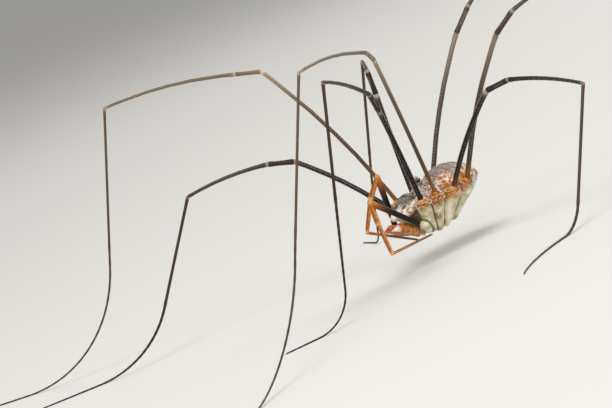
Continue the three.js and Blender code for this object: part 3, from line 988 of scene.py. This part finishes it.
@dataclass
class Jaw:
    """One chelicera: a bulging root article and a horned hand with two fingers."""

    side: Side
    root: Point = (0.46, -1.95, 4.08)
    knee: Point = (0.45, -3.48, 3.3)
    hand_front: Point = (0.43, -3.98, 2.8)
    hand_rear: Point = (0.38, -2.8, 2.06)
    horn_tip: Point = (0.42, -4.62, 2.82)
    finger_tip: Point = (0.3, -2.35, 1.68)
    inner_finger: Point = (-0.13, 0.0, 0.03)
    knob: Point = (0.2, -0.1, 0.02)
    knob_radius: float = 0.1
    spine_rows: tuple[float, ...] = (-0.5, 0.0, 0.5)
    spine_steps: Profile = ((0.35, 0.43), (0.49, 0.4), (0.63, 0.37), (0.77, 0.34))
    spine_size: tuple[float, float] = (0.08, 0.035)
    bulge: Profile = (
        (-0.1, 0.2), (0.05, 0.38), (0.28, 0.45), (0.5, 0.44), (0.75, 0.36), (0.93, 0.28), (1.03, 0.23),
        (1.11, 0.1),
    )
    palm: Profile = (
        (-0.2, 0.1), (-0.12, 0.22), (0.05, 0.29), (0.3, 0.3), (0.6, 0.26), (0.85, 0.19), (1.05, 0.12),
    )
    horn: Profile = ((-0.2, 0.16), (0.2, 0.19), (0.55, 0.14), (0.85, 0.07), (1.0, 0.02))
    finger: Profile = ((-0.2, 0.11), (0.3, 0.1), (0.75, 0.06), (1.0, 0.02))

    def build(self, shop: Workshop) -> None:
        """Draw both articles and finish them.

        Args:
            shop: the workshop.
        """
        label = self.side.label
        coats = (shop.finishes.jaw_base, shop.finishes.spine)
        node = f"chelicera_{label}_base"
        shop.piece(f"jaw_root_{label}", self._base().mesh, coats, [node])
        coats = (shop.finishes.jaw_hands[self.side], shop.finishes.spine)
        node = f"chelicera_{label}_hand"
        shop.piece(f"jaw_hand_{label}", self._hand().mesh, coats, [node])

    def _base(self) -> Sweep:
        """Draw the root article: grey on top, with denticles, and cream at the side, with a pale knob.

        Returns:
            The article.
        """
        sweep = Sweep()
        near, far = self.side.place(self.root), self.side.place(self.knee)
        sweep.taper(near, far, self.bulge)
        sweep.mesh.normal_update()
        for vert in sweep.mesh.verts:
            vert[sweep.shade] = ease(0.25, 0.6, vert.normal.z) * ease(-3.5, -3.2, vert.co.y)
        aim = (far - near).normalized()
        across, above = sideways(aim)
        for row in self.spine_rows:
            out = (above + across * row).normalized()
            for share, reach in self.spine_steps:
                sweep.spine(near.lerp(far, share) + out * reach, out + aim * 0.4, *self.spine_size)
        sweep.bead(far + self.side.place(self.knob), self.knob_radius, 0.0, 1)
        return sweep

    def _hand(self) -> Sweep:
        """Draw the second article, with its horn and its two fingers.

        Returns:
            The article.
        """
        sweep = Sweep()
        front, rear, tip = (self.side.place(p) for p in (self.hand_front, self.hand_rear, self.finger_tip))
        inward = self.side.place(self.inner_finger)
        sweep.taper(front, rear, self.palm)
        sweep.taper(front, self.side.place(self.horn_tip), self.horn)
        sweep.taper(rear, tip, self.finger)
        sweep.taper(rear + inward, tip + inward, self.finger)
        for vert in sweep.mesh.verts:
            vert[sweep.shade] = ease(-4.0, -4.25, vert.co.y)
        return sweep


@dataclass(frozen=True)
class Coxa:
    """The first article of a leg or palp, a tapered barrel fused to the trunk."""

    start: Vector
    end: Vector
    near: float
    far: float
    joint: Vector
    peg_count: int = 0
    peg_turn: float = 115.0
    peg_base: float = 0.06

    @property
    def aim(self) -> Vector:
        """The barrel's direction."""
        return (self.end - self.start).normalized()

    def rod(self) -> Sweep:
        """Draw the barrel as a closed rod.

        Returns:
            The barrel.
        """
        span = (self.end - self.start).length
        shape = (
            (-self.near, 0.3), (-self.near * 0.6, 0.8), (0.0, 1.0), (span * 0.5, 1.03), (span, 1.0),
            (span + self.far * 0.6, 0.8), (span + self.far, 0.3),
        )
        rod = Sweep()
        places = [self.start + self.aim * place for place, _ in shape]
        radii = [size * blend(self.near, self.far, place / span) for place, size in shape]
        rod.rod(places, radii, [0.0] * len(places), 20)
        return rod

    def clearance(self, point: Vector) -> float:
        """Measure how far a point lies outside the barrel.

        Args:
            point: the point.

        Returns:
            The distance, below 0 inside.
        """
        span = self.end - self.start
        share = min(max((point - self.start).dot(span) / span.length_squared, 0.0), 1.0)
        return (point - (self.start + span * share)).length - blend(self.near, self.far, share)

    def pegs(self, sweep: Sweep) -> None:
        """Stand pale pegs on the upper outer rim of the barrel.

        Args:
            sweep: the trunk's mesh.
        """
        across, above = sideways(self.aim)
        for index in range(self.peg_count):
            share = index / (self.peg_count - 1)
            turn = math.radians(blend(-self.peg_turn, self.peg_turn, share)) + random.uniform(-0.1, 0.1)
            out = above * math.cos(turn) + across * math.sin(turn)
            place = self.end + self.aim * random.uniform(-0.1, 0.2) + out * self.far * 0.93
            lean = out + self.aim * random.uniform(0.4, 1.0)
            sweep.spine(place, lean, random.uniform(0.14, 0.28), self.peg_base)


@dataclass
class Trunk:
    """The skin of the whole trunk with the leg coxae that fan out beneath it."""

    front: float = -2.5
    rear: float = 3.2
    half_width: Profile = (
        (-2.5, 0.75), (-2.1, 1.15), (-1.2, 1.45), (0.6, 1.65), (1.9, 1.45), (2.7, 1.0), (3.2, 0.45),
    )
    top: Profile = (
        (-2.5, 0.8), (-2.1, 1.12), (-1.2, 1.32), (-0.4, 1.36), (0.1, 1.6), (0.9, 1.7), (1.6, 1.62),
        (2.3, 1.36), (2.9, 0.85), (3.2, 0.4),
    )
    bottom: Profile = (
        (-2.5, 0.3), (-2.1, -0.7), (-1.5, -1.45), (0.1, -1.45), (1.0, -1.15), (2.2, -0.65),
        (2.9, -0.25), (3.2, 0.05),
    )
    coxa_roots: tuple[Point, ...] = (
        (0.42, -1.75, 1.95), (0.42, -1.25, 1.85), (0.42, -0.65, 1.9), (0.45, 0.0, 2.05),
    )
    coxa_radii: tuple[float, float] = (0.32, 0.44)
    palp_coxa_radii: tuple[float, float] = (0.27, 0.29)
    coxa_setback: float = 0.3
    coxa_pegs: int = 11
    roundness: float = 0.55
    voxel: float = 0.035
    grooves: tuple[float, ...] = (-0.4, 0.3, 0.8, 1.3, 1.8, 2.25, 2.65)
    groove_width: float = 0.07
    groove_depth: float = 0.05
    groove_lean: float = 0.12
    rough_waves: Profile = ((5.0, 0.02), (11.0, 0.01))
    plate_rows: tuple[float, ...] = (-0.85, -0.6, -0.05, 0.6, 1.1, 1.6, 2.05, 2.45)
    row_tubercles: int = 13
    row_turns: tuple[float, float] = (28.0, 152.0)
    tubercle: tuple[float, float] = (0.07, 0.03)

    def coxae(self) -> list[Coxa]:
        """Lay out every coxa and palp root.

        Returns:
            The barrels, those of the legs with pegs.
        """
        made = []
        for side in Side:
            for inner, shape in zip(self.coxa_roots, LEG_BUILDS.values()):
                start, root = side.place(inner), side.place(shape.root)
                end = root - (root - start).normalized() * self.coxa_setback
                made.append(Coxa(start, end, *self.coxa_radii, root, self.coxa_pegs))
            inner, outer, joint = (side.place(point) for point in (*PALP_COXA, PALP_ROOT))
            made.append(Coxa(inner, outer, *self.palp_coxa_radii, joint))
        return made

    def surface(self, share: float, turn: float) -> Vector:
        """Find a point of the trunk's own body.

        Args:
            share: how far back it lies, from 0 at the front to 1 at the rear.
            turn: the angle round the body, from the left side over the top.

        Returns:
            The point.
        """
        y = blend(self.front, self.rear, share)
        swell = (4.0 * share * (1.0 - share)) ** (self.roundness / 2.0)
        high, low = curve_at(self.top, y), curve_at(self.bottom, y)
        width = curve_at(self.half_width, y) * swell * math.cos(turn)
        height = (high + low) / 2.0 + (high - low) / 2.0 * swell * math.sin(turn)
        return Vector((width, y, TRUNK_HEIGHT + height))

    def tubercles(self, sweep: Sweep) -> None:
        """Stand rows of small pale tubercles across the plates of the back.

        Args:
            sweep: the trunk's mesh.
        """
        for place in self.plate_rows:
            share = (place - self.front) / (self.rear - self.front)
            for index in range(self.row_tubercles):
                across = blend(*self.row_turns, index / (self.row_tubercles - 1))
                turn = math.radians(across + random.uniform(-3.0, 3.0))
                point = self.surface(share + random.uniform(-0.008, 0.008), turn)
                out = Vector((math.cos(turn), 0.0, math.sin(turn)))
                sweep.spine(point - out * 0.02, out + Vector((0.0, 0.3, 0.0)), *self.tubercle)

    def lump(self) -> bmesh.types.BMesh:
        """Draw the trunk's own body: a sphere drawn out to the outline's sizes.

        Returns:
            The body.
        """
        mesh = bmesh.new()
        turn = Matrix.Rotation(math.radians(90.0), 4, "X")
        bmesh.ops.create_uvsphere(mesh, u_segments=64, v_segments=48, radius=1.0, matrix=turn)
        for vert in mesh.verts:
            vert.co = self.surface((vert.co.y + 1.0) / 2.0, math.atan2(vert.co.z, vert.co.x))
        return mesh

    def skin(self) -> bpy.types.Mesh:
        """Join the trunk and its coxae under one even skin.

        Returns:
            The skin's mesh.
        """
        mesh = self.lump()
        for coxa in self.coxae():
            rod = coxa.rod()
            loose = bpy.data.meshes.new("coxa")
            rod.mesh.to_mesh(loose)
            rod.mesh.free()
            mesh.from_mesh(loose)
            bpy.data.meshes.remove(loose)
        data = bpy.data.meshes.new("trunk_skin")
        mesh.to_mesh(data)
        mesh.free()
        holder = bpy.data.objects.new("trunk_skin", data)
        bpy.context.scene.collection.objects.link(holder)
        remesh = holder.modifiers.new("even", "REMESH")
        remesh.mode = "VOXEL"
        remesh.voxel_size = self.voxel
        smooth = holder.modifiers.new("soften", "SMOOTH")
        smooth.factor = 0.5
        smooth.iterations = 3
        graph = bpy.context.evaluated_depsgraph_get()
        made = bpy.data.meshes.new_from_object(holder.evaluated_get(graph))
        bpy.data.objects.remove(holder)
        return made

    def build(self, shop: Workshop) -> None:
        """Draw the skin, paint its regions and finish it.

        Args:
            shop: the workshop.
        """
        coxae = self.coxae()
        sweep = Sweep()
        data = self.skin()
        sweep.mesh.from_mesh(data)
        bpy.data.meshes.remove(data)
        self._paint(sweep.mesh, coxae)
        self.tubercles(sweep)
        for coxa in coxae:
            coxa.pegs(sweep)
        coats = (shop.finishes.trunk, shop.finishes.spine)
        shop.piece("trunk_skin", sweep.mesh, coats, ["cephalothorax", "abdomen"])

    def _paint(self, mesh: bmesh.types.BMesh, coxae: Sequence[Coxa]) -> None:
        """Paint the skin's regions, cut its grooves and roughen it.

        Args:
            mesh: the skin.
            coxae: every coxa and palp root.
        """
        names = ("coxa", "amber", "groove", "saddle", "flank", "tip", "belly", "seam")
        layers = {name: mesh.verts.layers.float.new(name) for name in names}
        mesh.normal_update()
        for vert in mesh.verts:
            for name, share in self._regions(vert.co, coxae).items():
                vert[layers[name]] = share
            rough = sum(noise.noise(vert.co * scale) * height for scale, height in self.rough_waves)
            vert.co += vert.normal * (rough - self.groove_depth * self._groove(vert.co))
        for face in mesh.faces:
            face.smooth = True

    def _regions(self, point: Vector, coxae: Sequence[Coxa]) -> dict[str, float]:
        """Work out how strongly each region's colour shows at a point of the skin.

        Args:
            point: the point.
            coxae: every coxa and palp root.

        Returns:
            A share from 0 to 1 for each region.
        """
        # Each pair of numbers is where a region starts and where it is whole, in millimetres
        near, second = sorted(coxa.clearance(point) for coxa in coxae)[:2]
        outer = min((point - coxa.joint).length for coxa in coxae)
        height = point.z - TRUNK_HEIGHT
        wave = noise.noise(point * 1.7) * 0.25
        back = ease(-0.6, 0.1, point.y)
        fall = 0.12 * max(point.y - 1.0, 0.0)
        # Brown between the coxae: partly their brown membrane, partly painted shade in the gaps
        membrane_and_gap_shade = ease(0.14, 0.03, second - near) * ease(0.2, 0.05, near) * 0.9
        # Painted shade under the carapace's front margin
        shade_under_hood = ease(-2.0, -2.3, point.y) * ease(0.5, 0.2, height) * ease(0.02, 0.1, near)
        return {
            "coxa": ease(0.12, 0.02, near),
            "amber": ease(0.95, 0.6, outer + wave * 0.4) * ease(-0.4, 0.1, height + wave),
            "groove": max(membrane_and_gap_shade, shade_under_hood),
            "saddle": back * ease(0.95, 1.15, height + wave * 1.6 - fall),
            "flank": ease(1.35, 0.95, height + wave) * ease(-0.9, -0.3, point.y) * ease(-0.2, 0.2, height),
            "tip": ease(2.45, 2.8, point.y + wave) * ease(0.0, 0.3, height),
            "belly": ease(0.4, 0.05, height + wave) * back,
            # Painted shade in the grooves between the back's plates
            "seam": self._groove(point) * ease(0.5, 0.9, height),
        }

    def _groove(self, point: Vector) -> float:
        """Work out how deep a point lies in the grooves between the back's plates.

        Args:
            point: the point.

        Returns:
            The depth, from 0 to 1.
        """
        place = point.y - self.groove_lean * abs(point.x)
        depth = sum(math.exp(-(((place - groove) / self.groove_width) ** 2)) for groove in self.grooves)
        return min(depth, 1.0) * ease(-0.4, 0.2, point.z - TRUNK_HEIGHT)


@dataclass
class EyeMound:
    """The low tubercle on the back that carries the two eyes."""

    centre: Point = (0.0, -1.32, 4.78)
    radius: float = 0.33
    skirt_radius: float = 0.3795
    skirt_drop: float = 0.15
    eye_offset: float = 0.29
    eye_radius: float = 0.165
    denticles: int = 6
    denticle_turn: float = 65.0
    denticle_size: tuple[float, float] = (0.09, 0.035)

    def build(self, shop: Workshop) -> None:
        """Draw the mound, its denticles and the eyes.

        Args:
            shop: the workshop.
        """
        sweep = Sweep()
        centre = Vector(self.centre)
        sweep.bead(centre, self.radius, 0.0, 0, 4)
        sweep.bead(centre - Vector((0.0, 0.0, self.skirt_drop)), self.skirt_radius, 0.0, 0, 4)
        for side in Side:
            for index in range(self.denticles):
                share = index / (self.denticles - 1)
                turn = math.radians(blend(-self.denticle_turn, self.denticle_turn, share))
                out = Vector((side.value * 0.25, -math.sin(turn), math.cos(turn))).normalized()
                sweep.spine(centre + out * self.radius * 0.97, out, *self.denticle_size)
        coats = (shop.finishes.trunk, shop.finishes.spine)
        shop.piece("eye_mound", sweep.mesh, coats, ["eye_tubercle"])
        for side in Side:
            ball = Sweep()
            place = centre + side.place((self.eye_offset, -0.05, 0.06))
            ball.bead(place, self.eye_radius, 0.0, 0, 4)
            name = "eye_" + side.label
            shop.piece("ball_of_" + name, ball.mesh, (shop.finishes.eye,), [name])


@dataclass(frozen=True)
class Lamp:
    """A soft square light, and the way that it hangs along the camera's right, up and back."""

    name: str
    right: float
    up: float
    back: float
    size: float
    watts: float


@dataclass
class Studio:
    """The floor, the lights and the camera."""

    floor_radius: float = 4.0
    aim_height: float = 2.0
    air_strength: float = 0.5
    lamp_distance: float = 0.36
    lamps: tuple[Lamp, ...] = (
        Lamp("key", -0.5, 0.9, 0.9, 0.18, 0.95),
        Lamp("fill", 0.9, 0.2, 1.0, 0.24, 0.3),
        Lamp("rim", 0.4, 1.0, -0.7, 0.16, 0.5),
    )

    def axes(self) -> tuple[Vector, Vector, Vector]:
        """Work out the camera's axes.

        Returns:
            Its right, up and back directions in the frame.
        """
        roll, rise = math.radians(CAMERA_ROLL), math.radians(CAMERA_ELEVATION)
        turn = math.radians(CAMERA_HEADING)
        right = Vector((math.cos(turn), math.sin(turn), 0.0))
        away = Vector((-math.sin(turn), math.cos(turn), 0.0))
        back = away * -math.cos(rise) + Vector((0.0, 0.0, math.sin(rise)))
        level_up = back.cross(right)
        across = right * math.cos(roll) - level_up * math.sin(roll)
        up = right * math.sin(roll) + level_up * math.cos(roll)
        return across, up, back

    def build(self, shop: Workshop) -> None:
        """Make the floor, the lights and the camera.

        Args:
            shop: the workshop, which knows where the trunk stands.
        """
        self._floor()
        trunk = (Vector((0.0, 0.0, TRUNK_HEIGHT)) + shop.shift) * MM
        axes = self.axes()
        self._camera(trunk, axes)
        for lamp in self.lamps:
            self._hang(lamp, trunk + Vector((0.0, 0.0, self.aim_height * MM)), axes)
        bpy.context.scene.view_settings.view_transform = "Standard"
        world = bpy.data.worlds.new("studio_air")
        world.use_nodes = True
        sky = world.node_tree.nodes["Background"]
        sky.inputs["Color"].default_value = linear("e9eaec")
        sky.inputs["Strength"].default_value = self.air_strength
        bpy.context.scene.world = world

    def _floor(self) -> None:
        """Lay the floor at the feet's height."""
        mesh = bmesh.new()
        bmesh.ops.create_circle(mesh, cap_ends=True, segments=96, radius=self.floor_radius)
        data = bpy.data.meshes.new("floor")
        mesh.to_mesh(data)
        mesh.free()
        data.materials.append(FloorPaper().build())
        floor = bpy.data.objects.new("floor", data)
        bpy.context.scene.collection.objects.link(floor)
        floor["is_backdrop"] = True

    @staticmethod
    def _camera(trunk: Vector, axes: tuple[Vector, Vector, Vector]) -> None:
        """Set the camera as the photograph was taken.

        Args:
            trunk: the trunk's middle.
            axes: the camera's right, up and back directions.
        """
        across, up, back = axes
        right, high = TRUNK_OFF_CENTRE
        place = trunk + (across * -right + up * -high + back * CAMERA_DISTANCE) * MM
        data = bpy.data.cameras.new("camera")
        data.sensor_width = SENSOR_WIDTH
        data.lens = SENSOR_WIDTH * CAMERA_DISTANCE / (IMAGE_WIDTH * MM_PER_PIXEL)
        data.clip_start = 0.01
        data.clip_end = 20.0
        camera = bpy.data.objects.new("camera", data)
        camera.matrix_world = Matrix.Translation(place) @ Matrix(axes).transposed().to_4x4()
        bpy.context.scene.collection.objects.link(camera)
        bpy.context.scene.camera = camera

    def _hang(self, lamp: Lamp, aim: Vector, axes: tuple[Vector, Vector, Vector]) -> None:
        """Hang a light that faces the animal.

        Args:
            lamp: the light.
            aim: the point that it faces.
            axes: the camera's right, up and back directions.
        """
        across, up, back = axes
        way = (across * lamp.right + up * lamp.up + back * lamp.back).normalized()
        data = bpy.data.lights.new(lamp.name, "AREA")
        data.shape = "SQUARE"
        data.size = lamp.size
        data.energy = lamp.watts
        made = bpy.data.objects.new(lamp.name, data)
        made.location = aim + way * self.lamp_distance
        made.rotation_euler = way.to_track_quat("Z", "Y").to_euler()
        bpy.context.scene.collection.objects.link(made)


def main() -> None:
    """Build the studio, then the animal from its trunk outwards."""
    logging.basicConfig(level=logging.INFO, format="%(message)s")
    random.seed(7)
    bare = [corner.copy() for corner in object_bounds()]
    shop = Workshop()
    Studio().build(shop)
    Trunk().build(shop)
    EyeMound().build(shop)
    for side in Side:
        Jaw(side).build(shop)
        Palp(side).build(shop)
        for number in LEG_BUILDS:
            Leg(side, number).build(shop)


if __name__ == "__main__":
    main()
